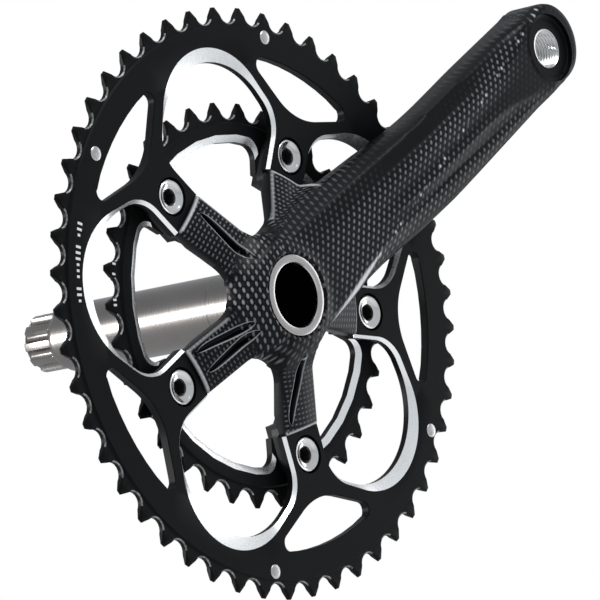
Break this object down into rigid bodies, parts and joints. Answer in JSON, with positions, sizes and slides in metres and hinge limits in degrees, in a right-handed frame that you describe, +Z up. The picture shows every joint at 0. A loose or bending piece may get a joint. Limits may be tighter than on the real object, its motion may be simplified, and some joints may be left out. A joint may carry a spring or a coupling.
{
  "type": "bicycle crankset",
  "caption": "Drive-side road bicycle crankset: carbon crank arm on a five-arm alloy spider with two bolted chainrings and a hollow splined steel spindle.",
  "frame": {"origin": "on the spindle axis, at the centre of the bottom bracket and the middle of the bare spindle", "axes": "+X forward on the bicycle, +Y along the spindle towards the rider's left, +Z up; the chainrings and crank arm are on the -Y side"},
  "size_m": [0.2494, 0.1322, 0.2336],
  "materials": {
    "carbon": "clear-coated woven carbon fibre",
    "ring_black": "black anodised with machined silver edges on the inner openings",
    "spider_black": "black anodised forging",
    "foam": "rigid foam",
    "insert_alloy": "machined thread",
    "spindle_steel": "satin ground steel",
    "black_rubber": "matt rubber",
    "bolt_steel": "polished",
    "pin_steel": "turned"
  },
  "bodies": {
    "root": {"outer_chainring": "ring_black", "inner_chainring": "ring_black", "spider": "spider_black", "spider_cover": "carbon", "crank_arm": "carbon", "pedal_end": "carbon", "arm_core": "foam", "pedal_insert": "insert_alloy", "spindle": "spindle_steel", "spindle_plug": "black_rubber", "chain_drop_pin": "pin_steel", "chainring_bolt_1": "bolt_steel", "chainring_nut_1": "bolt_steel", "chainring_bolt_2": "bolt_steel", "chainring_nut_2": "bolt_steel", "chainring_bolt_3": "bolt_steel", "chainring_nut_3": "bolt_steel", "chainring_bolt_4": "bolt_steel", "chainring_nut_4": "bolt_steel", "chainring_bolt_5": "bolt_steel", "chainring_nut_5": "bolt_steel", "shift_pin_1": "pin_steel", "shift_pin_2": "pin_steel", "shift_pin_3": "pin_steel", "shift_pin_4": "pin_steel"}
  },
  "joints": []
}
